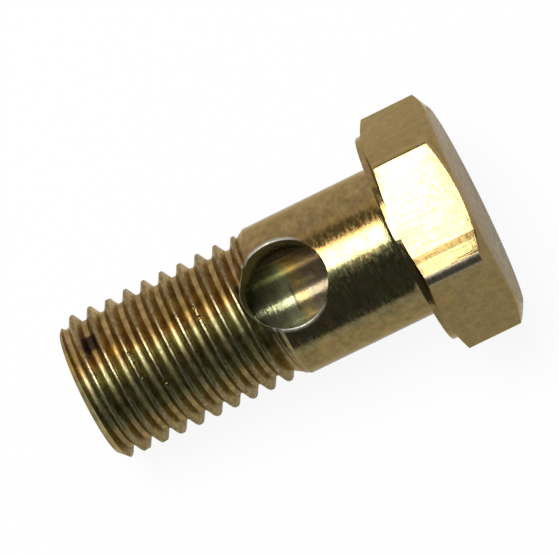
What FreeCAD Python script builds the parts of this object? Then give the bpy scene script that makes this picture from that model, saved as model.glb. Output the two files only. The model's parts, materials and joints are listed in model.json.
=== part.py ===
import FreeCAD, Part
import os

import Sketcher

# Driving sizes, in millimetres and degrees.
# A station is a distance along the bolt from the bearing face, which lies under the head.
SIZES = [
    ("shank_length", 26.3, "bearing face to the end of the thread"),
    ("shank_diameter", 11.95, "plain shank that the banjo eye sits on"),
    ("plain_length", 10.6, "plain shank, up to where the thread runs out"),
    ("neck_chamfer", 0.25, "small slope between the shank and the bearing face"),
    ("thread_diameter", 11.62, "over the crests"),
    ("thread_pitch", 1.5, "crest to crest"),
    ("thread_angle", 60, "between the two flanks of a groove"),
    ("crest_width", 0.2, "flat on a crest"),
    ("root_width", 0.4, "flat at the bottom of a groove"),
    ("groove_station", 11.23, "first groove turn, on the side that faces down at rest"),
    ("runout_angle", 33, "slope of the cone that the thread runs out in"),
    ("point_diameter", 10.1, "flat end of the thread, inside its chamfer"),
    ("point_angle", 45, "slope of that chamfer"),
    ("across_flats", 16.55, "hexagon, flat to flat"),
    ("head_height", 5.86, "bearing face to the top of the head"),
    ("corner_radius", 0.35, "upright edges of the hexagon"),
    ("washer_diameter", 16.65, "turned face under the head, a little over the flats"),
    ("washer_height", 0.38, "turned face, along the bolt"),
    ("under_angle", 19, "slope of the turned chamfer under the head"),
    ("crown_diameter", 16.2, "flat circle on top of the head"),
    ("crown_angle", 28, "slope of the turned chamfer on top of the head"),
    ("bore_diameter", 5.4, "blind bore along the bolt"),
    ("bore_depth", 22.0, "bore at full width, from the end of the thread"),
    ("bore_mouth", 0.3, "chamfer at the mouth of the bore"),
    ("drill_angle", 118, "cone that a drill leaves at the end of a hole"),
    ("cross_diameter", 6.8, "cross hole, through one wall only"),
    ("cross_station", 9.05, "axis of the cross hole"),
    ("cross_floor", 0.5, "cross hole at full width, down to this far above the bolt's axis"),
]

# Sizes that several features take from the driving ones
HALF_FLATS = "sizes.across_flats / 2"
SHANK_RADIUS = "sizes.shank_diameter / 2"
CREST_RADIUS = "sizes.thread_diameter / 2"
FLANK_SLOPE = "tan(sizes.thread_angle / 2 * 1 deg)"
THREAD_DEPTH = "(sizes.thread_pitch - sizes.crest_width - sizes.root_width) / 2 / %s" % FLANK_SLOPE
ROOT_RADIUS = "(%s - %s)" % (CREST_RADIUS, THREAD_DEPTH)
POINT_RADIUS = "sizes.point_diameter / 2"
POINT_LENGTH = "(sizes.thread_diameter - sizes.point_diameter) / 2 / tan(sizes.point_angle * 1 deg)"
BORE_RADIUS = "sizes.bore_diameter / 2"
CROSS_RADIUS = "sizes.cross_diameter / 2"
DRILL_SLOPE = "tan(sizes.drill_angle / 2 * 1 deg)"
# How far an outline reaches into the metal that it joins, or past the metal that it cuts
REACH = "sizes.crest_width / 2"


def make_sizes(doc):
    """The table of driving sizes that every feature reads."""
    table = doc.addObject("Spreadsheet::Sheet", "sizes")
    for row, (alias, number, meaning) in enumerate(SIZES, start=1):
        table.set("A%d" % row, alias)
        table.set("B%d" % row, str(number))
        table.set("C%d" % row, meaning)
        table.setAlias("B%d" % row, alias)
    doc.recompute()


def new_feature(body, kind, name):
    """A feature whose faces stay as they are cut, without neighbours being merged."""
    feature = body.newObject(kind, name)
    feature.Refine = False
    return feature


def new_sketch(body, name, role):
    """An empty sketch on one of the body's own base planes."""
    sketch = body.newObject("Sketcher::SketchObject", name)
    plane = [item for item in body.Origin.OriginFeatures if item.Role == role][0]
    sketch.AttachmentSupport = [(plane, "")]
    sketch.MapMode = "FlatFace"
    return sketch


def hold(sketch, kind, line, expression):
    """Ties the start of a line to an axis, or to its signed distance from the origin."""
    if expression == "0":
        axis = -2 if kind == "DistanceX" else -1
        sketch.addConstraint(Sketcher.Constraint("PointOnObject", line, 1, axis))
        return
    number = float(sketch.evalExpression(expression))
    index = sketch.addConstraint(Sketcher.Constraint(kind, -1, 1, line, 1, number))
    sketch.setExpression("Constraints[%d]" % index, expression)


def draw_outline(sketch, corners):
    """A closed outline of straight lines through corners given as pairs of expressions."""
    first = sketch.GeometryCount
    count = len(corners)
    points = []
    for across, along in corners:
        x = float(sketch.evalExpression(across))
        y = float(sketch.evalExpression(along))
        points.append(FreeCAD.Vector(x, y, 0))
    for index in range(count):
        sketch.addGeometry(Part.LineSegment(points[index], points[(index + 1) % count]))
    for index in range(count):
        following = first + (index + 1) % count
        sketch.addConstraint(Sketcher.Constraint("Coincident", first + index, 2, following, 1))
    for index, (across, along) in enumerate(corners):
        hold(sketch, "DistanceX", first + index, across)
        hold(sketch, "DistanceY", first + index, along)


def turn(body, kind, name, outlines, angle=360, backwards=False):
    """A turned feature: outlines of radius and station, spun about the bolt's axis."""
    sketch = new_sketch(body, name + "_outline", "XZ_Plane")
    for corners in outlines:
        draw_outline(sketch, corners)
    feature = new_feature(body, kind, name)
    feature.Profile = sketch
    feature.ReferenceAxis = (sketch, ["V_Axis"])
    feature.Angle = angle
    feature.Reversed = backwards
    body.Document.recompute()


def make_thread(body):
    """A turned blank with a chamfered point, and one right-hand helical groove along it.

    The blank is turned as two halves, so that its crest is a row of half turns and not
    one endless band. The groove starts in the air past the point and ends where the plain
    shank covers it later, so neither end of the groove shows.
    """
    blank_end = "-(sizes.plain_length - 2 * sizes.thread_pitch)"
    blank = [
        ("0", "-sizes.shank_length"),
        (POINT_RADIUS, "-sizes.shank_length"),
        (CREST_RADIUS, "-sizes.shank_length + %s" % POINT_LENGTH),
        (CREST_RADIUS, blank_end),
        ("0", blank_end),
    ]
    turn(body, "PartDesign::Revolution", "blank_front_half", [blank], 180, False)
    turn(body, "PartDesign::Revolution", "blank_back_half", [blank], 180, True)

    turns = "ceil((sizes.shank_length - sizes.groove_station) / sizes.thread_pitch + 1)"
    start = "(sizes.groove_station + %s * sizes.thread_pitch)" % turns
    outer_radius = "(%s + %s)" % (CREST_RADIUS, REACH)
    outer_half = "(sizes.root_width / 2 + (%s + %s) * %s)" % (THREAD_DEPTH, REACH, FLANK_SLOPE)
    sketch = new_sketch(body, "groove_outline", "XZ_Plane")
    draw_outline(sketch, [
        (ROOT_RADIUS, "-%s - sizes.root_width / 2" % start),
        (outer_radius, "-%s - %s" % (start, outer_half)),
        (outer_radius, "-%s + %s" % (start, outer_half)),
        (ROOT_RADIUS, "-%s + sizes.root_width / 2" % start),
    ])
    groove = new_feature(body, "PartDesign::SubtractiveHelix", "thread_groove")
    groove.Profile = sketch
    groove.ReferenceAxis = (sketch, ["V_Axis"])
    groove.Mode = "pitch-height-angle"
    groove.setExpression("Pitch", "sizes.thread_pitch")
    groove.setExpression("Height", "%s - sizes.plain_length + sizes.thread_pitch" % start)
    body.Document.recompute()


def make_shank(body):
    """The plain shank, from the neck under the head to the cone that fills the last groove."""
    cone_radius = "(%s - %s)" % (ROOT_RADIUS, REACH)
    cone_length = "(%s - %s) / tan(sizes.runout_angle * 1 deg)" % (SHANK_RADIUS, cone_radius)
    cone_end = "-sizes.plain_length - %s" % cone_length
    turn(body, "PartDesign::Revolution", "plain_shank", [[
        ("0", "0"),
        (SHANK_RADIUS + " + sizes.neck_chamfer", "0"),
        (SHANK_RADIUS, "-sizes.neck_chamfer"),
        (SHANK_RADIUS, "-sizes.plain_length"),
        (cone_radius, cone_end),
        ("0", cone_end),
    ]])


def is_upright(edge):
    """True for a straight edge that runs along the bolt."""
    if edge.Curve.TypeId != "Part::GeomLine":
        return False
    return abs(edge.tangentAt(edge.FirstParameter).z) > 0.999


def make_head(body):
    """The hexagon with its upright edges rounded, then turned at both ends.

    The turned washer face is a little wider than the flats, so each flat runs down
    through it in a short tab.
    """
    sketch = new_sketch(body, "hexagon_outline", "XY_Plane")
    half_side = "%s * tan(30 deg)" % HALF_FLATS
    corner = "%s / cos(30 deg)" % HALF_FLATS
    draw_outline(sketch, [
        (HALF_FLATS, half_side),
        ("0", corner),
        ("-" + HALF_FLATS, half_side),
        ("-" + HALF_FLATS, "-" + half_side),
        ("0", "-" + corner),
        (HALF_FLATS, "-" + half_side),
    ])
    hexagon = new_feature(body, "PartDesign::Pad", "hexagon")
    hexagon.Profile = sketch
    hexagon.setExpression("Length", "sizes.head_height")
    body.Document.recompute()

    upright = []
    for number, edge in enumerate(hexagon.Shape.Edges, start=1):
        if is_upright(edge) and edge.BoundBox.ZMin > -0.001:
            upright.append("Edge%d" % number)
    rounded = new_feature(body, "PartDesign::Fillet", "hexagon_corners")
    rounded.Base = (hexagon, upright)
    rounded.setExpression("Radius", "sizes.corner_radius")
    body.Document.recompute()

    washer = "sizes.washer_diameter / 2"
    crown = "sizes.crown_diameter / 2"
    beyond = "sizes.across_flats * 0.7"
    washer_rise = "(%s - %s) * tan(sizes.under_angle * 1 deg)" % (beyond, washer)
    crown_fall = "(%s - %s) * tan(sizes.crown_angle * 1 deg)" % (beyond, crown)
    under = [
        (washer, "0"),
        (beyond, "0"),
        (beyond, "sizes.washer_height + %s" % washer_rise),
        (washer, "sizes.washer_height"),
    ]
    over = [
        (crown, "sizes.head_height"),
        (beyond, "sizes.head_height - %s" % crown_fall),
        (beyond, "sizes.head_height"),
    ]
    turn(body, "PartDesign::Groove", "turned_head", [under, over])


def make_bore(body):
    """The blind bore along the bolt, from the thread end."""
    drill_cone = "%s / %s" % (BORE_RADIUS, DRILL_SLOPE)
    turn(body, "PartDesign::Groove", "axial_bore", [[
        ("0", "-sizes.shank_length"),
        (BORE_RADIUS + " + sizes.bore_mouth", "-sizes.shank_length"),
        (BORE_RADIUS, "-sizes.shank_length + sizes.bore_mouth"),
        (BORE_RADIUS, "-sizes.shank_length + sizes.bore_depth"),
        ("0", "-sizes.shank_length + sizes.bore_depth + %s" % drill_cone),
    ]])


def make_cross_hole(body):
    """The wide cross hole, drilled through one wall into the bore.

    It is wider than the bore, so its drill leaves a narrow cone on each side of the bore.
    """
    middle = "-sizes.cross_station"
    side = "-sizes.cross_station - %s" % CROSS_RADIUS
    beyond = "-sizes.shank_diameter"
    sketch = new_sketch(body, "cross_outline", "XZ_Plane")
    draw_outline(sketch, [
        (beyond, middle),
        ("-sizes.cross_floor + %s / %s" % (CROSS_RADIUS, DRILL_SLOPE), middle),
        ("-sizes.cross_floor", side),
        (beyond, side),
    ])
    ends = [sketch.Geometry[0].StartPoint, sketch.Geometry[0].EndPoint]
    axis = sketch.addGeometry(Part.LineSegment(*ends), True)
    sketch.addConstraint(Sketcher.Constraint("Coincident", axis, 1, 0, 1))
    sketch.addConstraint(Sketcher.Constraint("Coincident", axis, 2, 0, 2))
    hole = new_feature(body, "PartDesign::Groove", "cross_hole")
    hole.Profile = sketch
    hole.ReferenceAxis = (sketch, ["Axis0"])
    hole.Angle = 360
    body.Document.recompute()


def lay_down(body):
    """Lays the bolt on one flat of its head and on the last crest of its thread.

    The origin is then at the middle of the bolt's box, on the surface that it lies on.
    The head points along +X, and the cross hole and the flat above it face up.
    """
    contact = "(sizes.shank_length - %s)" % POINT_LENGTH
    tilt = "atan((sizes.across_flats - sizes.thread_diameter) / 2 / %s)" % contact
    low_end = "(sizes.shank_length * cos(%s) + %s * sin(%s))" % (tilt, POINT_RADIUS, tilt)
    high_end = "(sizes.head_height * cos(%s) + sizes.crown_diameter / 2 * sin(%s))" % (tilt, tilt)
    across = FreeCAD.Vector(0, 1, 0)
    body.Placement = FreeCAD.Placement(FreeCAD.Vector(0, 0, 0), FreeCAD.Rotation(across, 90))
    body.setExpression("Placement.Rotation.Angle", "90 deg - %s" % tilt)
    body.setExpression("Placement.Base.x", "(%s - %s) / 2" % (low_end, high_end))
    body.setExpression("Placement.Base.z", "%s * cos(%s)" % (HALF_FLATS, tilt))
    body.Document.recompute()


def check(doc, bodies):
    """Stops if any feature failed, or if a body isn't one sound solid."""
    for item in doc.Objects:
        if "Invalid" in item.State or "Error" in item.State:
            raise RuntimeError("%s failed: %s" % (item.Name, item.State))
    for body in bodies:
        shape = body.Shape
        if shape.isNull() or not shape.isValid() or len(shape.Solids) != 1:
            raise RuntimeError("%s isn't one sound solid" % body.Label)


doc = FreeCAD.newDocument("banjo_bolt")
make_sizes(doc)
bolt = doc.addObject("PartDesign::Body", "banjo_bolt")
bolt.Label = "banjo_bolt"
make_thread(bolt)
make_shank(bolt)
make_head(bolt)
make_bore(bolt)
make_cross_hole(bolt)
lay_down(bolt)
check(doc, [bolt])

os.makedirs("parts", exist_ok=True)
bolt.Shape.exportStep(os.path.join("parts", bolt.Label + ".step"))
print("%s: volume %.1f mm3" % (bolt.Label, bolt.Shape.Volume))
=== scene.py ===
"""A banjo bolt: a hollow hexagon-head bolt with a cross hole, in yellow passivated zinc.

The bolt is one piece. It is modelled in its own frame, with X towards the head, Z up the cross hole
and the origin in the middle of the bearing face, and is then moved into the frame of the CAD solid.
"""

import json
import math

import bmesh
import bpy
from bpy.props import FloatProperty, FloatVectorProperty, IntProperty, PointerProperty
from bpy.types import Operator, Panel, PropertyGroup
from mathutils import Matrix, Vector


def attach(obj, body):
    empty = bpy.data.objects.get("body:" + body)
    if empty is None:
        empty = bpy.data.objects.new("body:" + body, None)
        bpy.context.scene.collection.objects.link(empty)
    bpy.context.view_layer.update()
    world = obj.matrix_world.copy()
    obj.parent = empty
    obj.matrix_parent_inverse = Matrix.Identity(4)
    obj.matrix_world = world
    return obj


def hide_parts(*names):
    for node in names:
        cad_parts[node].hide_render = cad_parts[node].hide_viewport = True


bl_info = {
    "name": "Banjo Bolt",
    "version": (1, 0, 0),
    "blender": (4, 5, 0),
    "location": "View3D > Sidebar > Banjo Bolt",
    "description": "Models a yellow zinc plated banjo bolt and the studio that it lies in",
    "category": "Object",
}

MM = 0.001
IMAGE_SIZE = (559, 555)

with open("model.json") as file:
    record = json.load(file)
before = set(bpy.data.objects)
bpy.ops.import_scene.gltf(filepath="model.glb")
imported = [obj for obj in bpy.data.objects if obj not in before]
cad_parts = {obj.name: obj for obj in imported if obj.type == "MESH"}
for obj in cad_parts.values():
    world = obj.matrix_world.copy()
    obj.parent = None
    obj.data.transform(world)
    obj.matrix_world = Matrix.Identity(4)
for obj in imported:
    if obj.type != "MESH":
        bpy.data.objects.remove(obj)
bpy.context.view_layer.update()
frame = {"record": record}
MOUNTS = {mount["name"]: mount for mount in frame["record"]["mounts"]}


def mount_size(name, key):
    """A size from the record, in metres."""
    return MOUNTS[name]["dims"][key] * MM


def bolt_matrix():
    """The solid's own frame in the row: X towards the head and Z up the cross hole."""
    along = -Vector(MOUNTS["shank"]["axis"]).normalized()
    up = Vector(MOUNTS["cross_port"]["axis"]).normalized()
    top = Vector(MOUNTS["wrench_hexagon"]["pos_m"])
    face = Vector(MOUNTS["bearing_face"]["pos_m"])
    matrix = Matrix((along, up.cross(along), up)).transposed().to_4x4()
    matrix.translation = top - along * (top - face).dot(along)
    return matrix


# The hexagon of the photographed bolt stands turned a little against its cross hole. The hexagon
# keeps to the solid's flats, and the bolt's own frame follows the hole.
HEXAGON_TURN = math.radians(1.6)
BOLT = bolt_matrix() @ Matrix.Rotation(-HEXAGON_TURN, 4, "X")
HEAD_HEIGHT = (Vector(MOUNTS["wrench_hexagon"]["pos_m"]) - BOLT.translation).length
CROSS_STATION = -(BOLT.inverted() @ Vector(MOUNTS["cross_port"]["pos_m"])).x

# How far a solid reaches into the next one that it is joined to, or out of the one that it cuts
THREAD_OVERLAP = 0.4 * MM
HEAD_OVERLAP = 0.5 * MM
RUNOUT_DEPTH = 1.3 * MM
BEYOND = MM

# Over this length the cross hole's edge steps down from the shank to the thread's crests
STEP_LENGTH = 0.3 * MM

# Points closer together than this are one point
WELD = 0.001 * MM

# Half the angle from one flat of the hexagon to the next
HALF_CORNER = math.pi / 6

CROSS_STEPS = 144
RIM_STEPS = 8
SHARP_ANGLE = math.radians(24)

# Marks of use on the thread, in millimetres and degrees: station, angle round from the top towards
# the side that the picture shows at the top, reach along the bolt, reach round it, and depth
MARKS = (
    (-16.07, 81, 0.5, 1.7, 0.16),
    (-22.07, 81, 0.55, 2.2, 0.22),
    (-24.32, -99, 0.6, 2.0, 0.16),
    (-22.82, -99, 0.45, 1.5, 0.1),
    (-21.67, 4.5, 0.16, 0.3, 0.1),
    (-21.62, -4.0, 0.14, 0.22, 0.08),
    (-21.52, -15.5, 0.18, 0.35, 0.12),
    (-15.92, 14.0, 0.2, 0.4, 0.16),
    (-15.78, 5.5, 0.24, 0.3, 0.14),
    (-15.56, -1.5, 0.15, 0.2, 0.08),
    (-22.33, -18.4, 0.16, 0.2, 0.45),
    (-20.13, -27.3, 0.18, 0.25, 0.2),
    (-13.47, -17.4, 0.16, 0.22, 0.5),
)

# Where the film, the stains and the painted light change. The green band is a painted tint of the
# softbox's reflection along the top and a painted highlight on the thread's flanks, the gold band a
# painted tint of that reflection's upper edge, and the strip a painted reflection on the head's
# flat.
# Each starts at the first number, is full from the second to the third and ends at the fourth. The
# bands are in degrees round the bolt, as in the marks, and the rest in millimetres along the bolt
# or across it.
PAINTED_GREEN_BAND = (-62.0, -40.0, -2.0, 10.0)
HIGHLIGHT_EDGE_BAND = (7.0, 13.0, 24.0, 34.0)
PATCH_ALONG = (-24.75, -24.6, -23.6, -23.48)
PATCH_ACROSS = (1.75, 2.15, 3.1, 3.4)
REFLECTION_STRIP_ACROSS = (2.82, 2.92, 3.4, 3.5)

# The dark ring in the bore, and where each tint of its film passes into the next; the bright tint
# is a painted highlight
BORE_RING = -9.62
BORE_TINTS = ((-11.1, -10.2), (-9.8, -9.2), (-8.9, -8.1))

# The heights on the sky where the glow overhead begins and the backdrop ends
GLOW_EDGE = (0.74, 0.84)
BACKDROP_EDGE = (0.0, 0.07)


def length(name, description, default):
    return FloatProperty(name=name, description=description, default=default, unit="LENGTH",
                         precision=5)


def angle(name, description, degrees):
    return FloatProperty(name=name, description=description, default=math.radians(degrees),
                         subtype="ANGLE")


def number(name, description, default):
    return FloatProperty(name=name, description=description, default=default)


def factor(name, description, default):
    return FloatProperty(name=name, description=description, default=default, min=0.0, max=1.0)


def colour(name, description, default):
    return FloatVectorProperty(name=name, description=description, default=default, size=3,
                               min=0.0, max=1.0, subtype="COLOR")


class BanjoBoltSizes(PropertyGroup):
    """Sizes of the bolt, in its own frame."""

    shank_length: length("Shank Length", "From the bearing face to the thread end", 26.3 * MM)
    shank_radius: length("Shank Radius", "Plain shank", mount_size("shank", "r_mm"))
    plain_length: length("Plain Length", "From the bearing face to the thread's run-out", 10.6 * MM)
    neck: length("Neck", "Chamfer between the shank and the bearing face", 0.4 * MM)
    crest_radius: length("Crest Radius", "Over the thread's crests", mount_size("thread", "r_mm"))
    pitch: length("Pitch", "Between two turns of the thread", 1.5 * MM)
    crest_width: length("Crest Width", "Flat on a crest", 0.2 * MM)
    crest_ease: length("Crest Ease", "Rounding of the crest edges", 0.03 * MM)
    root_width: length("Root Width", "Flat in a root", 0.4 * MM)
    flank_angle: angle("Flank Angle", "Each flank, from square to the bolt", 30)
    groove_station: length("Groove Station", "Middle of a groove, on the side below", 11.23 * MM)
    runout_angle: angle("Run-out Angle", "Rise of the thread's end to the shank", 33)
    point_radius: length("Point Radius", "Thread end", 5.05 * MM)
    across_flats: length("Across Flats", "Hexagon", 16.55 * MM)
    corner_radius: length("Corner Radius", "Edges between the flats", 0.35 * MM)
    worn_radius: length("Worn Radius", "The most rounded of those edges", 0.85 * MM)
    head_height: length("Head Height", "From the bearing face to the top", HEAD_HEIGHT)
    flat_ease: length("Flat Ease", "Rounding where flats meet turned chamfers", 0.12 * MM)
    edge_ease: length("Edge Ease", "Rounding of the head's two turned edges", 0.1 * MM)
    washer_radius: length("Washer Radius", "Turned face under the head", 8.325 * MM)
    washer_height: length("Washer Height", "Turned face under the head", 0.46 * MM)
    under_angle: angle("Under Angle", "Turned chamfer under the head", 19)
    crown_radius: length("Crown Radius", "Flat circle on top of the head", 8.1 * MM)
    crown_angle: angle("Crown Angle", "Turned chamfer on top of the head", 28)
    bore_radius: length("Bore Radius", "Bore along the bolt", mount_size("fluid_bore", "r_mm"))
    bore_depth: length("Bore Depth", "From the thread end to the drill's shoulder", 22.0 * MM)
    bore_mouth: length("Bore Mouth", "Chamfer at the thread end", 0.3 * MM)
    drill_angle: angle("Drill Angle", "Half of the drill's point", 59)
    cross_radius: length("Cross Radius", "Hole across the shank", mount_size("cross_port", "r_mm"))
    cross_floor: length("Cross Floor", "From the bolt's axis up to the drill's shoulder", 0.5 * MM)
    cross_station: length("Cross Station", "From the bearing face to the hole", CROSS_STATION)
    cross_shift: length("Cross Shift", "From the bolt's middle plane to the hole", 0.08 * MM)
    squeeze: factor("Squeeze", "The hole's width across the bolt, as a share of its length", 0.935)
    rim_width: length("Rim Width", "Broken edge round the hole, where it is broad", 0.36 * MM)
    ring: length("Ring", "Between two rings of the turned faces", 0.4 * MM)
    steps: IntProperty(name="Steps", description="Facets in one turn", default=180, min=24, max=360)


def corner_reach(size):
    """From the bolt's axis to the hexagon's corners before they are rounded."""
    return size.across_flats / 2 / math.cos(HALF_CORNER)


def thread_depth(size):
    """From a crest to the root's flat."""
    half_mouth = (size.pitch - size.crest_width) / 2
    return (half_mouth - size.root_width / 2) / math.tan(size.flank_angle)


def lathe(outline, steps):
    """A closed turned solid from points (along, radius) that start and end on the axis."""
    work = bmesh.new()
    points = [work.verts.new((x, 0.0, r)) for x, r in outline]
    edges = [work.edges.new(pair) for pair in zip(points, points[1:])]
    bmesh.ops.spin(work, geom=points + edges, axis=(1, 0, 0), cent=(0, 0, 0), dvec=(0, 0, 0),
                   angle=2 * math.pi, steps=steps, use_merge=True)
    bmesh.ops.remove_doubles(work, verts=work.verts, dist=0.1 * WELD)
    bmesh.ops.recalc_face_normals(work, faces=work.faces)
    return work


def rings(start, end, radius, step):
    """Points (along, radius) between start and end, close enough for even shading."""
    count = math.ceil(abs(end - start) / step)
    return [(start + (end - start) * index / count, radius) for index in range(1, count)]


def as_object(work, name):
    """A new mesh object from a bmesh, which is freed."""
    mesh = bpy.data.meshes.new(name)
    work.to_mesh(mesh)
    work.free()
    made = bpy.data.objects.new(name, mesh)
    bpy.context.scene.collection.objects.link(made)
    return made


def combine(base, tools, operation):
    """Cuts the tools from the base, joins them to it or keeps what they share, and deletes them."""
    for tool in tools:
        step = base.modifiers.new(operation.lower(), "BOOLEAN")
        step.operation = operation
        step.solver = "MANIFOLD"
        step.object = tool
    shown = base.evaluated_get(bpy.context.evaluated_depsgraph_get())
    shape = bpy.data.meshes.new_from_object(shown)
    base.modifiers.clear()
    old = base.data
    base.data = shape
    bpy.data.meshes.remove(old)
    for tool in tools:
        bpy.data.meshes.remove(tool.data)
    if not base.data.polygons:
        raise RuntimeError("nothing is left of " + base.name)


def thread_blank(size):
    """The bar that the thread is cut into, with its chamfered point."""
    lead = size.crest_radius - size.point_radius
    outline = (
        (-size.shank_length, 0.0),
        (-size.shank_length, size.point_radius),
        (-size.shank_length + lead, size.crest_radius),
        (-size.plain_length + THREAD_OVERLAP, size.crest_radius),
        (-size.plain_length + THREAD_OVERLAP, 0.0),
    )
    return lathe(outline, size.steps)


def groove_profile(size):
    """The thread groove's outline (along, radius) about its middle."""
    slope = math.tan(size.flank_angle)
    half_root = size.root_width / 2
    half_mouth = (size.pitch - size.crest_width) / 2
    depth = thread_depth(size)
    root = size.crest_radius - depth
    ease = size.crest_ease
    # Over the crest and round its edge, in eases, then down the flank and round into the root, in
    # depths of the thread
    edge = ((2.2, 0.9), (0.9, -0.12), (0.15, -0.55), (-1.2 * slope, -1.2))
    fillet = ((0.26, 0.26), (0.12, 0.13), (0.0, 0.045), (-0.18, 0.0))
    side = [(half_mouth + out * ease, size.crest_radius + up * ease) for out, up in edge]
    side += [(half_root + out * depth * slope, root + up * depth) for out, up in fillet]
    return side + [(-x, r) for x, r in reversed(side)]


def groove_cutter(size):
    """The groove's outline wound along the bolt, from beyond the thread end to the run-out."""
    turns = math.ceil((size.shank_length - size.groove_station) / size.pitch) + 2
    steps = size.steps * 4 // 5
    work = bmesh.new()
    outline = groove_profile(size)
    points = [work.verts.new((x - size.groove_station, 0.0, -r)) for x, r in outline]
    edges = [work.edges.new(pair) for pair in zip(points, points[1:] + points[:1])]
    bmesh.ops.spin(work, geom=points + edges, axis=(1, 0, 0), cent=(0, 0, 0),
                   dvec=(size.pitch / steps, 0, 0), angle=2 * math.pi, steps=steps, use_merge=False)
    first = [*work.verts, *work.edges, *work.faces]
    for index in range(1, turns):
        copied = bmesh.ops.duplicate(work, geom=first)["geom"]
        moved = [item for item in copied if isinstance(item, bmesh.types.BMVert)]
        bmesh.ops.translate(work, verts=moved, vec=(-index * size.pitch, 0, 0))
    bmesh.ops.remove_doubles(work, verts=work.verts, dist=WELD)
    bmesh.ops.holes_fill(work, edges=[edge for edge in work.edges if edge.is_boundary], sides=0)
    bmesh.ops.recalc_face_normals(work, faces=work.faces)
    return work


def plain_shank(size):
    """The plain shank, from the cone that the thread runs out on to the neck under the head."""
    inner = size.shank_radius - RUNOUT_DEPTH
    reach = RUNOUT_DEPTH / math.tan(size.runout_angle)
    outline = (
        (-size.plain_length - reach, 0.0),
        (-size.plain_length - reach, inner),
        (-size.plain_length, size.shank_radius),
        *rings(-size.plain_length, -size.neck, size.shank_radius, size.ring),
        (-size.neck, size.shank_radius),
        (-0.35 * size.neck, size.shank_radius + 0.28 * size.neck),
        (0.0, size.shank_radius + size.neck),
        (HEAD_OVERLAP, size.shank_radius + size.neck),
        (HEAD_OVERLAP, 0.0),
    )
    return lathe(outline, size.steps)


def hexagon(size):
    """The head's hexagon bar with rounded edges, longer than the head at both ends."""
    work = bmesh.new()
    bmesh.ops.create_circle(work, cap_ends=True, segments=6, radius=corner_reach(size))
    upright = Matrix.Rotation(math.pi / 2, 3, "Y")
    bmesh.ops.rotate(work, verts=work.verts, cent=(0, 0, 0), matrix=upright)
    bmesh.ops.translate(work, verts=work.verts, vec=(-BEYOND, 0, 0))
    raised = bmesh.ops.extrude_face_region(work, geom=list(work.faces), use_keep_orig=True)
    top = [item for item in raised["geom"] if isinstance(item, bmesh.types.BMVert)]
    bmesh.ops.translate(work, verts=top, vec=(size.head_height + 2 * BEYOND, 0, 0))
    long_edges = [edge for edge in work.edges
                  if abs(edge.verts[0].co.x - edge.verts[1].co.x) > size.head_height]
    upper = [edge for edge in long_edges if edge.verts[0].co.z > BEYOND]
    front = [edge for edge in upper if edge.verts[0].co.y < 0.0]
    back = [edge for edge in upper if edge not in front]
    rest = [edge for edge in long_edges if edge not in upper]
    radii = (size.worn_radius, 0.6 * size.worn_radius, size.corner_radius)
    for edges, radius in zip((front, back, rest), radii):
        bmesh.ops.bevel(work, geom=edges, offset=radius * math.tan(HALF_CORNER),
                        offset_type="OFFSET", affect="EDGES", segments=8, profile=0.5, material=-1)
    turn = Matrix.Rotation(HEXAGON_TURN, 3, "X")
    bmesh.ops.rotate(work, verts=work.verts, cent=(0, 0, 0), matrix=turn)
    bmesh.ops.recalc_face_normals(work, faces=work.faces)
    return work


def turned_head(size):
    """What the lathe leaves of the head: its washer face, both chamfers and the top circle."""
    beyond = corner_reach(size) + BEYOND
    rise = (beyond - size.washer_radius) * math.tan(size.under_angle)
    fall = (beyond - size.crown_radius) * math.tan(size.crown_angle)
    ease = size.edge_ease
    outline = (
        (0.0, 0.0),
        (0.0, size.washer_radius - 0.6 * ease),
        (0.2 * ease, size.washer_radius - 0.15 * ease),
        (0.7 * ease, size.washer_radius),
        (size.washer_height, size.washer_radius),
        (size.washer_height + rise, beyond),
        (size.head_height - fall, beyond),
        (size.head_height - 0.7 * ease, size.crown_radius + 1.2 * ease),
        (size.head_height - 0.2 * ease, size.crown_radius + 0.2 * ease),
        (size.head_height, size.crown_radius - ease),
        (size.head_height, 0.0),
    )
    return lathe(outline, size.steps)


def ease_flats(head, size):
    """Rounds the edges where the hexagon's flats meet the turned chamfers."""
    work = bmesh.new()
    work.from_mesh(head.data)
    bmesh.ops.remove_doubles(work, verts=work.verts, dist=WELD)
    bmesh.ops.recalc_face_normals(work, faces=work.faces)
    edges = []
    for edge in work.edges:
        slanted = sum(abs(face.normal.x) > 0.1 for face in edge.link_faces)
        highest = max(vert.co.x for vert in edge.verts)
        if slanted == 1 and highest > size.washer_height + 10 * WELD:
            edges.append(edge)
    bmesh.ops.bevel(work, geom=edges, offset=size.flat_ease, offset_type="OFFSET", affect="EDGES",
                    segments=3, profile=0.5, material=-1, clamp_overlap=True)
    bmesh.ops.recalc_face_normals(work, faces=work.faces)
    work.to_mesh(head.data)
    work.free()


def bore_cutter(size):
    """The bore with its drill cone and the chamfer at its mouth."""
    shoulder = -size.shank_length + size.bore_depth
    mouth = size.bore_radius + size.bore_mouth
    outline = (
        (-size.shank_length - BEYOND, 0.0),
        (-size.shank_length - BEYOND, mouth + BEYOND),
        (-size.shank_length, mouth),
        (-size.shank_length + size.bore_mouth, size.bore_radius),
        *rings(-size.shank_length + size.bore_mouth, shoulder, size.bore_radius, size.ring),
        (shoulder, size.bore_radius),
        (shoulder + size.bore_radius / math.tan(size.drill_angle), 0.0),
    )
    return lathe(outline, size.steps)


def cross_edge(size, out):
    """A point where the cross hole meets the surface, and the ways along it and out of it there."""
    x = out.x * size.cross_radius
    y = out.y * size.cross_radius * size.squeeze + size.cross_shift
    drop = (size.cross_station - x - size.plain_length) / STEP_LENGTH
    drop = min(max(drop, 0.0), 1.0)
    radius = size.shank_radius + (size.crest_radius - size.shank_radius) * drop
    point = Vector((x, y, math.sqrt(radius * radius - y * y)))
    lift = Vector((0.0, point.y, point.z)).normalized()
    return point, (out - lift * out.dot(lift)).normalized(), lift


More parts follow.
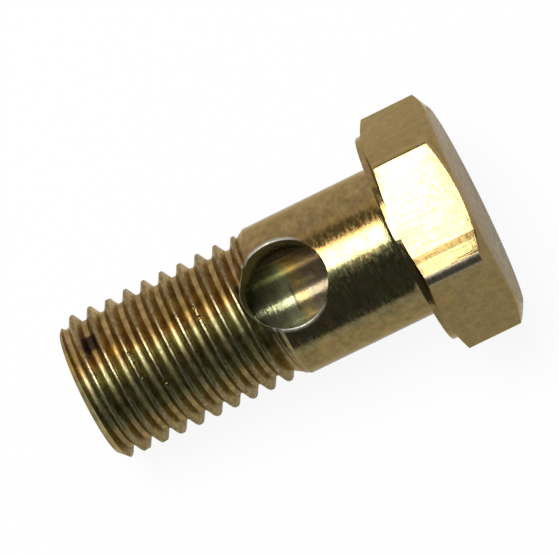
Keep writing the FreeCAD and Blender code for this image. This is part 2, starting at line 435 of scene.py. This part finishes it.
def cross_layers(size, outs):
    """Rings of points up the cross cutter, which bends outwards along the surface at the top."""
    # Down the hole, over the surface and out of it, in widths of the rim. The last one is clear of
    # the bolt.
    bends = [step / RIM_STEPS for step in range(RIM_STEPS + 1)]
    levels = [((1 - bend) ** 2, bend ** 2, 0.0) for bend in bends] + [(0.0, 3.5, 1.2)]
    # The rim is broadest on the two sides of the bolt
    corners = [(*cross_edge(size, out), size.rim_width * (0.15 + 1.1 * out.y ** 4)) for out in outs]
    layers = []
    for down, over, rise in levels:
        layers.append([point + (along * over + lift * rise - Vector((0, 0, down))) * rim
                       for point, along, lift, rim in corners])
    layers.append([Vector((point.x, point.y, size.across_flats / 2)) for point in layers[-1]])
    return layers


def cross_cutter(size):
    """The cross hole with its drill cone, which also rounds the hole's edge."""
    work = bmesh.new()
    ring = bmesh.ops.create_circle(work, cap_ends=True, segments=CROSS_STEPS,
                                   radius=size.cross_radius)["verts"]
    outs = [vert.co.normalized() for vert in ring]
    bmesh.ops.scale(work, verts=work.verts, vec=(1.0, size.squeeze, 1.0))
    bmesh.ops.translate(work, verts=work.verts, vec=(0, size.cross_shift, size.cross_floor))
    edges = list(work.edges)
    for layer in cross_layers(size, outs):
        raised = bmesh.ops.extrude_edge_only(work, edges=edges)["geom"]
        edges = [item for item in raised if isinstance(item, bmesh.types.BMEdge)]
        above = {item for item in raised if isinstance(item, bmesh.types.BMVert)}
        ring = [next(edge.other_vert(vert) for edge in vert.link_edges
                     if edge.other_vert(vert) in above) for vert in ring]
        for vert, place in zip(ring, layer):
            vert.co = place
    bmesh.ops.holes_fill(work, edges=edges, sides=0)
    floor = min(work.faces, key=lambda face: face.calc_center_median().z)
    point = bmesh.ops.poke(work, faces=[floor])["verts"][0]
    point.co.z -= size.cross_radius / math.tan(size.drill_angle)
    bmesh.ops.translate(work, verts=work.verts, vec=(-size.cross_station, 0, 0))
    bmesh.ops.recalc_face_normals(work, faces=work.faces)
    return work


def mark_cutter(size):
    """Small ellipsoids that flatten and nick the thread's crests."""
    work = bmesh.new()
    thickness = 0.5 * MM
    for station, around, along, across, depth in MARKS:
        made = bmesh.ops.create_icosphere(work, subdivisions=4, radius=1.0)["verts"]
        bmesh.ops.scale(work, verts=made, vec=(along * MM, across * MM, thickness))
        middle = (station * MM, 0.0, size.crest_radius + thickness - depth * MM)
        bmesh.ops.translate(work, verts=made, vec=middle)
        turn = Matrix.Rotation(-math.radians(around), 3, "X")
        bmesh.ops.rotate(work, verts=made, cent=(0, 0, 0), matrix=turn)
    return work


def finish_piece(piece, material):
    """Moves the mesh into the row and gives it its shading, its material and its place there."""
    mesh = piece.data
    mesh.transform(BOLT)
    for face in mesh.polygons:
        face.use_smooth = True
    mesh.set_sharp_from_angle(angle=SHARP_ANGLE)
    mesh.materials.clear()
    mesh.materials.append(material)
    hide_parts("banjo_bolt")
    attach(piece, "root")


class Value:
    """A shader socket that Python's arithmetic can be written with."""

    def __init__(self, nodes, socket):
        self.nodes = nodes
        self.socket = socket

    def math(self, operation, *others):
        made = self.nodes.add("ShaderNodeMath", {"operation": operation}, (self, *others))
        return Value(self.nodes, made.outputs[0])

    def __add__(self, other):
        return self.math("ADD", other)

    def __sub__(self, other):
        return self.math("SUBTRACT", other)

    def __mul__(self, other):
        return self.math("MULTIPLY", other)

    def __truediv__(self, other):
        return self.math("DIVIDE", other)

    def __rsub__(self, other):
        return self.nodes.value(other).math("SUBTRACT", self)

    def __rtruediv__(self, other):
        return self.nodes.value(other).math("DIVIDE", self)

    __radd__ = __add__
    __rmul__ = __mul__

    def __neg__(self):
        return self * -1.0

    def __pow__(self, power):
        return self.math("POWER", power)

    def __abs__(self):
        return self.math("ABSOLUTE")

    def ramp(self, low, high):
        """0 below low and 1 above high, eased between them."""
        made = self.nodes.add("ShaderNodeMapRange", {"interpolation_type": "SMOOTHSTEP"},
                              (self, low, high, 0.0, 1.0))
        return Value(self.nodes, made.outputs[0])

    def fall(self, low, high):
        """1 below low and 0 above high, eased between them."""
        return 1.0 - self.ramp(low, high)

    def window(self, start, full, full_end, end):
        """0 outside start and end, 1 between the two others."""
        return self.ramp(start, full) * self.fall(full_end, end)


class Nodes:
    """The node tree of one material or world."""

    def __init__(self, tree):
        self.tree = tree
        tree.nodes.clear()

    def add(self, kind, settings=None, inputs=()):
        """Adds a node, makes its settings, then fills its sockets with numbers or links."""
        node = self.tree.nodes.new(kind)
        for key, setting in (settings or {}).items():
            setattr(node, key, setting)
        pairs = inputs.items() if isinstance(inputs, dict) else enumerate(inputs)
        for key, item in pairs:
            item = item.socket if isinstance(item, Value) else item
            if isinstance(item, bpy.types.NodeSocket):
                self.tree.links.new(item, node.inputs[key])
            else:
                node.inputs[key].default_value = item
        return node

    def value(self, constant):
        made = self.add("ShaderNodeValue")
        made.outputs[0].default_value = constant
        return Value(self, made.outputs[0])

    def separate(self, vector):
        """The three parts of a vector."""
        parts = self.add("ShaderNodeSeparateXYZ", None, (vector,))
        return [Value(self, part) for part in parts.outputs]

    def combine(self, x, y, z):
        return Value(self, self.add("ShaderNodeCombineXYZ", None, (x, y, z)).outputs[0])

    def grey(self, shade):
        return self.combine(shade, shade, shade)

    def noise(self, x, y, z, scale=1.0, detail=3.0, roughness=0.6):
        made = self.add("ShaderNodeTexNoise", {"noise_dimensions": "3D"}, {
            "Vector": self.combine(x, y, z),
            "Scale": scale,
            "Detail": detail,
            "Roughness": roughness,
        })
        return Value(self, made.outputs["Fac"])

    def mix(self, share, first, second, blend="MIX"):
        """Mixes two colours."""
        made = self.add("ShaderNodeMix", {"data_type": "RGBA", "blend_type": blend},
                        {"Factor": share, 6: first, 7: second})
        return Value(self, made.outputs[2])


def rgb(values):
    return (*values, 1.0)


class BanjoBoltFinish(PropertyGroup):
    """Colours and gloss of the plating."""

    # Painted shade: the lower colour is darker than the upper one, for the side towards -y
    upper: colour("Upper", "The film on the side at the picture's top", (0.245, 0.168, 0.072))
    lower: colour("Lower", "The film on the other side", (0.2, 0.15, 0.062))
    # Painted reflection tint along the top of the bolt
    green: colour("Green", "The film along the top", (0.18, 0.175, 0.085))
    rose: colour("Rose", "Faint rose tint of the film", (0.27, 0.155, 0.09))
    # Thicker film in cloudy patches and on top, and the painted tint of reflections in the gold
    # band and on the flat's strip
    gold_and_reflection_tint: colour("Gold", "Where the film is thicker", (0.26, 0.165, 0.045))
    bore_green: colour("Bore Green", "The bore's film, towards the thread end", (0.18, 0.185, 0.1))
    # Painted highlight: the bore's film is lighter where the softbox's reflection is brightest
    bore_painted_highlight: colour("Bore Bright", "The bore's film, brightest band", (0.29, 0.3, 0.17))
    bore_gold: colour("Bore Gold", "The bore's film, golden band", (0.35, 0.265, 0.115))
    bore_rose: colour("Bore Rose", "The bore's film, towards the head", (0.23, 0.185, 0.12))
    wall: colour("Wall", "The film on the cross hole's wall", (0.26, 0.24, 0.125))
    # Painted shade: the cross hole's wall darkens to this colour towards its bottom
    shoulder: colour("Shoulder", "The film where the cross drill ends", (0.12, 0.09, 0.048))
    # Painted shade on the bore's floor; the dark ring takes this colour too
    floor_shade_and_ring: colour("Residue", "Along the bore's floor", (0.05, 0.042, 0.022))
    stain: colour("Stain", "Dark stain on the thread", (0.035, 0.022, 0.015))
    worn: colour("Worn", "Bright metal on worn edges", (0.3, 0.28, 0.225))
    edge: colour("Edge", "The metal seen at a flat angle", (0.86, 0.78, 0.61))
    gloss: factor("Gloss", "Roughness of the smoothest turning marks", 0.1)
    dull: factor("Dull", "Roughness added where the marks are coarse", 0.2)
    rolled: factor("Rolled", "Roughness added in the thread's roots", 0.25)
    relief: factor("Relief", "Strength of the turning marks", 0.5)
    relief_depth: length("Relief Depth", "Depth of the turning marks", 0.03 * MM)


class Places:
    """The bolt's own coordinates in millimetres and degrees, and masks that are 1 in one place.

    The small numbers added to the sizes are the soft margins between one surface and the next.
    """

    def __init__(self, nodes, size):
        home = BOLT.inverted()
        own = nodes.add("ShaderNodeMapping", {"vector_type": "POINT"}, {
            "Vector": nodes.add("ShaderNodeTexCoord").outputs["Object"],
            "Location": home.translation / MM,
            "Rotation": home.to_euler(),
            "Scale": (1 / MM, 1 / MM, 1 / MM),
        })
        self.x, self.y, self.z = nodes.separate(own.outputs[0])
        self.radius = (self.y * self.y + self.z * self.z) ** 0.5
        self.around = self.y.math("ARCTAN2", self.z) * (180 / math.pi)
        self.hole_parts(size)
        self.thread_parts(size)
        self.head_parts(size)

    def hole_parts(self, size):
        """The inside of both holes, the cross hole's wall and rim, the bore's floor and ring."""
        x, y, z, radius = self.x, self.y, self.z, self.radius
        bore, cross, crest = size.bore_radius / MM, size.cross_radius / MM, size.crest_radius / MM
        across = (y - size.cross_shift / MM) / size.squeeze
        away = ((x + size.cross_station / MM) ** 2 + across * across) ** 0.5
        inside = radius.fall(bore + 0.01, bore + 0.06) * x.fall(-1.5, -1.0)
        hole = away.fall(cross + 0.03, cross + 0.1) * radius.fall(crest - 0.11, crest - 0.01)
        hole = hole * z.ramp(0.2 - bore, 0.3 - bore)
        self.wall = hole * (1.0 - inside)
        self.inside = inside.math("MAXIMUM", hole)
        widened = (away - across * across * 0.021).fall(cross + 0.09, cross + 0.13)
        rim = away.ramp(cross + 0.01, cross + 0.06) * widened * z.ramp(0.0, 0.1)
        self.rim = rim * abs(across).ramp(2.2, 3.3)
        self.floor = z.fall(0.08 - bore, 0.4 - bore)
        self.ring = abs(x - BORE_RING).fall(0.04, 0.13) * self.floor

    def thread_parts(self, size):
        """The thread, its crests, its flanks, its rougher roots and the dark patch on it."""
        plain, crest = size.plain_length / MM, size.crest_radius / MM
        root = crest - thread_depth(size) / MM
        self.thread = self.x.fall(-plain - 0.6, -plain)
        self.crest = self.thread * self.radius.ramp(crest - 0.11, crest - 0.04)
        self.flank = self.thread * (1.0 - self.crest) * (1.0 - self.inside)
        self.root = self.flank * (1.0 - self.radius.ramp(root + 0.09, root + 0.27) * 0.4)
        patch = self.x.window(*PATCH_ALONG) * self.y.window(*PATCH_ACROSS)
        self.patch = patch * self.z.ramp(0.0, 0.5)

    def head_parts(self, size):
        """The head, its top, its upper flat with painted reflection strips along one edge, and that
        edge.
        """
        half, corner = size.across_flats / 2 / MM, corner_reach(size) / MM
        tall = size.head_height / MM
        front = -self.y
        self.head = self.x.ramp(0.1, 0.4)
        self.top = self.x.ramp(tall - 0.06, tall - 0.02)
        self.flat = self.z.ramp(half - 0.375, half - 0.275) * self.head
        # Painted reflection strips on the flat: a dim strip, then a pale one
        self.strip = front.window(*REFLECTION_STRIP_ACROSS) * self.flat
        self.pale = front.ramp(*REFLECTION_STRIP_ACROSS[2:]) * self.flat
        edge = front.ramp(3.9, 4.1) * self.z.ramp(6.0, 7.0)
        self.arris = edge * self.radius.ramp(corner - 0.255, corner - 0.215)


def inner_film(nodes, finish, at):
    """The film inside: bands along the bore, painted shade on its floor, and the cross hole's wall.
    """
    film = rgb(finish.bore_green)
    # The bright tint along the bore is a painted highlight
    for change, tint in zip(BORE_TINTS, (finish.bore_painted_highlight, finish.bore_gold, finish.bore_rose)):
        film = nodes.mix(at.x.ramp(*change), film, rgb(tint))
    # Painted shade on the bore's floor, stronger towards the head, and the dark ring in the same
    # colour
    floor_shade_and_ring_share = at.floor * (0.2 + at.x.ramp(-9.9, -9.3) * 0.25) + at.ring * 0.5
    film = nodes.mix(floor_shade_and_ring_share, film, rgb(finish.floor_shade_and_ring))
    # Painted shade: the cross hole's wall is darker deeper down
    wall = nodes.mix(at.z.ramp(0.4, 3.0), rgb(finish.shoulder), rgb(finish.wall))
    return nodes.mix(at.wall, film, wall)


def zinc_material(size, finish):
    """Yellow passivated zinc with its film, its stains and its turning marks."""
    material = bpy.data.materials.new("yellow_zinc")
    material.use_nodes = True
    nodes = Nodes(material.node_tree)
    at = Places(nodes, size)
    x, y, z = at.x, at.y, at.z

    # Turning marks run round the bolt, and drawing marks run along the flats of the head
    turned = nodes.noise(x * 6.5, y * 0.45, z * 0.45)
    hair = nodes.noise(x * 5.0, y * 1.7, z * 1.7, roughness=0.7)
    drawn = nodes.noise(x * 0.5, y * 3.0, z * 3.0)
    marks = turned + (drawn - turned) * at.head
    cloud = nodes.noise(x, y, z, 0.55, roughness=0.5)
    tint = nodes.noise(x + 40.0, y, z, 0.9, 2.0, 0.5)
    speck = nodes.noise(x, y + 20.0, z, 4.0)
    blotch = nodes.noise(x * 1.3, y, z, 1.1, 2.0) - 0.5

    # The film's tint: the lower side is darker as painted shade, and the bands along the top carry
    # painted tints of the softbox's reflection
    film = nodes.mix(at.around.ramp(-50.0, 40.0), rgb(finish.lower), rgb(finish.upper))
    # Painted tint of the softbox's reflection along the top; the same band is a painted highlight
    # on the flanks
    green = at.around.window(*PAINTED_GREEN_BAND)
    film = nodes.mix(green * (0.55 + hair * 0.6) * (1.0 - at.head), film, rgb(finish.green))
    # Painted reflection tint: the gold band colours the upper edge of the softbox's reflection
    golden = at.around.window(*HIGHLIGHT_EDGE_BAND) * (1.0 - at.head)
    film = nodes.mix(cloud.ramp(0.5, 0.75) * 0.4 + golden * 0.7, film, rgb(finish.gold_and_reflection_tint))
    film = nodes.mix(tint.fall(0.3, 0.5) * 0.3, film, rgb(finish.rose))
    film = nodes.mix(at.crest * 0.2, film, rgb(finish.worn))
    film = nodes.mix(at.inside, film, inner_film(nodes, finish, at))
    # Gold on the painted reflection strip of the flat and on the top's own film
    film = nodes.mix(at.strip * 0.4 + at.top * 0.5, film, rgb(finish.gold_and_reflection_tint))
    film = nodes.mix(at.patch, film, rgb(finish.stain))

    # How light it is: a painted highlight on the head's flat and painted reflection strips along
    # its edge, the thread lighter and its grime darker, a painted highlight on the thread's flanks
    # in the green band and on the bore's side towards +y, all broken up by the marks
    # Painted highlight: the flat is lighter, except on its painted reflection strips
    shade = 1.0 + (at.flat - at.strip - at.pale) * 0.25
    shade = shade - at.strip * (0.35 + speck * 0.5) - at.pale * speck * 0.4
    grime = tint.fall(0.42, 0.56) * at.flank
    # Painted highlight: the thread's flanks are lighter in the green band
    shade = shade + at.thread * 0.28 + at.flank * (0.06 + green * 0.16) - grime * 0.36
    # Painted highlight: the bore's side towards +y is lighter
    shade = shade + (at.inside - at.wall) * y.ramp(1.7, 2.2) * x.ramp(-10.5, -9.5) * 0.7
    shade = shade * (0.5 + marks * 0.42 + speck * 0.58 + blotch * (1.1 - at.head * 0.5))
    shade = shade * (1.0 - at.crest * (0.85 - speck))
    film = nodes.mix(1.0, film, nodes.grey(shade), "MULTIPLY")
    film = nodes.mix(at.rim.math("MAXIMUM", at.arris * 0.6), film, rgb(finish.worn))

    coarse = hair.ramp(0.35, 0.75) * (1.0 - at.inside * 0.7)
    coarse = coarse + at.inside * 0.35 + at.patch + at.crest + at.arris + at.rim * 1.6
    height = (marks + hair * 0.6) * (1.0 + at.inside * 0.3)
    bump = nodes.add("ShaderNodeBump", None, {
        "Strength": finish.relief, "Distance": finish.relief_depth, "Height": height,
    })
    shader = nodes.add("ShaderNodeBsdfPrincipled", None, {
        "Base Color": film,
        "Metallic": 1.0 - at.inside * 0.45 - at.top * 0.5,
        "Roughness": finish.gloss + finish.dull * coarse + finish.rolled * at.root,
        "Specular Tint": rgb(finish.edge),
        "Specular IOR Level": 0.0,
        "Normal": bump.outputs[0],
    })
    nodes.add("ShaderNodeOutputMaterial", None, {"Surface": shader.outputs[0]})
    return material


class OBJECT_OT_banjo_bolt(Operator):
    """Models the whole bolt as one turned, threaded and drilled piece"""

    bl_idname = "object.banjo_bolt"
    bl_label = "Banjo Bolt"

    def execute(self, context):
        size = context.scene.banjo_bolt_sizes
        bolt = as_object(thread_blank(size), "bolt")
        combine(bolt, [as_object(groove_cutter(size), "groove")], "DIFFERENCE")
        combine(bolt, [as_object(plain_shank(size), "shank")], "UNION")
        head = as_object(turned_head(size), "head")
        combine(head, [as_object(hexagon(size), "bar")], "INTERSECT")
        ease_flats(head, size)
        combine(bolt, [head], "UNION")
        cutters = [bore_cutter(size), cross_cutter(size), mark_cutter(size)]
        combine(bolt, [as_object(cutter, "cutter") for cutter in cutters], "DIFFERENCE")
        finish_piece(bolt, zinc_material(size, context.scene.banjo_bolt_finish))
        bolt.name = "plated_bolt"
        return {"FINISHED"}


class BanjoBoltStudio(PropertyGroup):
    """The camera, as measured on the picture, and the lights."""

    tilt: angle("Tilt", "Camera's lean towards the head", 6.219)
    turn: angle("Turn", "Camera's lean to the side of the bolt", 8.982)
    roll: angle("Roll", "Turn of the picture", 26.052)
    distance: length("Distance", "Camera to the middle of the bolt", 441.03 * MM)
    scale: number("Scale", "Pixels in one millimetre at the bolt", 13.398)
    shown_x: number("Shown X", "Pixel column of the bolt's middle", 296.713)
    shown_y: number("Shown Y", "Pixel row of the bolt's middle", 291.392)
    middle: length("Middle", "From the bearing face to the bolt's middle", 9.0 * MM)
    floor_reach: length("Floor Reach", "From the bolt to the floor's edge", 1.5)
    floor_colour: colour("Floor", "Pale floor", (0.82, 0.82, 0.82))
    floor_shown: factor("Floor Shown", "Share of white in the floor as the camera sees it", 0.92)
    floor_mirrored: factor("Floor Mirrored", "Share of white in it as the metal sees it", 0.55)
    softbox_power: number("Softbox", "Strength of the large softbox", 13.0)
    front_power: number("Front Edge", "Strength of the softbox's soft front edge", 0.6)
    back_power: number("Back Edge", "Strength of the softbox's soft back edge", 5.0)
    softbox_width: length("Softbox Width", "Along the bolt", 0.44)
    glow: factor("Glow", "Dim ceiling round the softbox", 0.16)
    sky_lean: angle("Sky Lean", "Lean of that ceiling to the back", 23.1)
    room: factor("Room", "Dark room", 0.1)
    backdrop: factor("Backdrop", "Rise of the white backdrop behind the bolt", 0.563)
    backdrop_white: factor("Backdrop White", "Strength of the backdrop and the table", 0.9)


class OBJECT_OT_banjo_bolt_stage(Operator):
    """Sets up the pale floor, the studio lights and the camera"""

    bl_idname = "object.banjo_bolt_stage"
    bl_label = "Studio"

    def execute(self, context):
        studio = context.scene.banjo_bolt_studio
        self.add_floor(studio)
        self.add_lights(studio)
        self.add_world(studio)
        self.add_camera(studio)
        return {"FINISHED"}

    def add_floor(self, studio):
        """A pale floor that shows as nearly white and keeps the bolt's shadow."""
        work = bmesh.new()
        bmesh.ops.create_grid(work, x_segments=1, y_segments=1, size=studio.floor_reach)
        floor = as_object(work, "floor")
        material = bpy.data.materials.new("pale_floor")
        material.use_nodes = True
        nodes = Nodes(material.node_tree)
        ray = nodes.add("ShaderNodeLightPath")
        camera, glossy, through = (Value(nodes, ray.outputs["Is %s Ray" % kind])
                                   for kind in ("Camera", "Glossy", "Transmission"))
        mirrored = (1.0 - camera) * (glossy + through).math("MINIMUM", 1.0)
        seen = camera * studio.floor_shown + mirrored * studio.floor_mirrored
        matt = nodes.add("ShaderNodeBsdfDiffuse", None, {"Color": rgb(studio.floor_colour)})
        white = nodes.add("ShaderNodeEmission", None, {"Color": rgb((1, 1, 1)), "Strength": 1.0})
        both = nodes.add("ShaderNodeMixShader", None, (seen, matt.outputs[0], white.outputs[0]))
        nodes.add("ShaderNodeOutputMaterial", None, {"Surface": both.outputs[0]})
        floor.data.materials.append(material)

    def add_lights(self, studio):
        """The softbox and its soft edges: lean to the bolt's side, distance, height and power."""
        for name, degrees, distance, height, power in (
            ("softbox", 13.0, 0.9, 0.45, studio.softbox_power),
            ("front_edge", -5.0, 0.92, 0.13, studio.front_power),
            ("back_edge", 30.0, 0.92, 0.11, studio.back_power),
        ):
            lean = math.radians(degrees)
            # All three stand a little towards the thread end
            direction = Vector((-0.1, math.sin(lean), math.cos(lean)))
            self.add_softbox(name, direction, distance, studio.softbox_width, height, power)

    def add_softbox(self, name, direction, distance, width, height, power):
        """An area light of one radiance over its face, aimed at the bolt."""
        data = bpy.data.lights.new(name, "AREA")
        data.shape = "RECTANGLE"
        data.size = width
        data.size_y = height
        data.energy = power * math.pi * width * height
        lamp = bpy.data.objects.new(name, data)
        bpy.context.scene.collection.objects.link(lamp)
        out = (BOLT.to_3x3() @ direction).normalized()
        along = BOLT.to_3x3().col[0]
        side = (along - out * along.dot(out)).normalized()
        matrix = Matrix((side, out.cross(side), out)).transposed().to_4x4()
        matrix.translation = BOLT.translation + out * distance
        lamp.matrix_world = matrix

    def add_world(self, studio):
        """A dark room over a white table, a white backdrop behind the bolt and a glow overhead."""
        world = bpy.data.worlds.new("studio")
        bpy.context.scene.world = world
        world.use_nodes = True
        nodes = Nodes(world.node_tree)
        seen = nodes.add("ShaderNodeTexCoord").outputs["Generated"]
        _, back, height = nodes.separate(seen)
        overhead = back * math.sin(studio.sky_lean) + height * math.cos(studio.sky_lean)
        dark = overhead.ramp(*GLOW_EDGE) * studio.glow + studio.room
        wall = (height - back.math("MAXIMUM", 0.0) * studio.backdrop).fall(*BACKDROP_EDGE)
        shade = wall * studio.backdrop_white + (1.0 - wall) * dark
        sky = nodes.add("ShaderNodeBackground", None, {"Color": nodes.grey(shade), "Strength": 1.0})
        nodes.add("ShaderNodeOutputWorld", None, {"Surface": sky.outputs[0]})

    def add_camera(self, studio):
        """The camera, which stands over the bolt and shows its middle at the measured pixel."""
        along, side, up = BOLT.to_3x3().col
        lean = math.cos(studio.turn) * up - math.sin(studio.turn) * side
        out = math.sin(studio.tilt) * along + math.cos(studio.tilt) * lean
        level = (along - out * along.dot(out)).normalized()
        over = out.cross(level)
        right = math.cos(studio.roll) * level - math.sin(studio.roll) * over
        upward = math.sin(studio.roll) * level + math.cos(studio.roll) * over
        across = (studio.shown_x - IMAGE_SIZE[0] / 2) / studio.scale * MM
        down = (studio.shown_y - IMAGE_SIZE[1] / 2) / studio.scale * MM
        target = BOLT.translation - along * studio.middle
        data = bpy.data.cameras.new("camera")
        data.sensor_fit = "HORIZONTAL"
        data.sensor_width = 36.0
        data.lens = studio.scale * studio.distance / MM / IMAGE_SIZE[0] * data.sensor_width
        data.clip_start = 0.01
        data.clip_end = 20.0
        camera = bpy.data.objects.new("camera", data)
        bpy.context.scene.collection.objects.link(camera)
        matrix = Matrix((right, upward, out)).transposed().to_4x4()
        matrix.translation = target + out * studio.distance - right * across + upward * down
        camera.matrix_world = matrix
        bpy.context.scene.camera = camera


class VIEW3D_PT_banjo_bolt(Panel):
    """Sizes, finish and studio of the banjo bolt"""

    bl_idname = "VIEW3D_PT_banjo_bolt"
    bl_label = "Banjo Bolt"
    bl_space_type = "VIEW_3D"
    bl_region_type = "UI"
    bl_category = "Banjo Bolt"

    def draw(self, context):
        layout = self.layout
        layout.use_property_split = True
        scene = context.scene
        for operator, groups in (
            (OBJECT_OT_banjo_bolt, (scene.banjo_bolt_sizes, scene.banjo_bolt_finish)),
            (OBJECT_OT_banjo_bolt_stage, (scene.banjo_bolt_studio,)),
        ):
            layout.operator(operator.bl_idname)
            for settings in groups:
                for key in settings.__annotations__:
                    layout.prop(settings, key)


CLASSES = (
    BanjoBoltSizes,
    BanjoBoltFinish,
    BanjoBoltStudio,
    OBJECT_OT_banjo_bolt,
    OBJECT_OT_banjo_bolt_stage,
    VIEW3D_PT_banjo_bolt,
)


def register():
    for made in CLASSES:
        bpy.utils.register_class(made)
    bpy.types.Scene.banjo_bolt_sizes = PointerProperty(type=BanjoBoltSizes)
    bpy.types.Scene.banjo_bolt_finish = PointerProperty(type=BanjoBoltFinish)
    bpy.types.Scene.banjo_bolt_studio = PointerProperty(type=BanjoBoltStudio)


def unregister():
    del bpy.types.Scene.banjo_bolt_studio
    del bpy.types.Scene.banjo_bolt_finish
    del bpy.types.Scene.banjo_bolt_sizes
    for made in reversed(CLASSES):
        bpy.utils.unregister_class(made)


def main():
    register()
    bpy.ops.object.banjo_bolt()
    bpy.ops.object.banjo_bolt_stage()
    bpy.context.scene.view_settings.view_transform = "Standard"


if __name__ == "__main__":
    main()
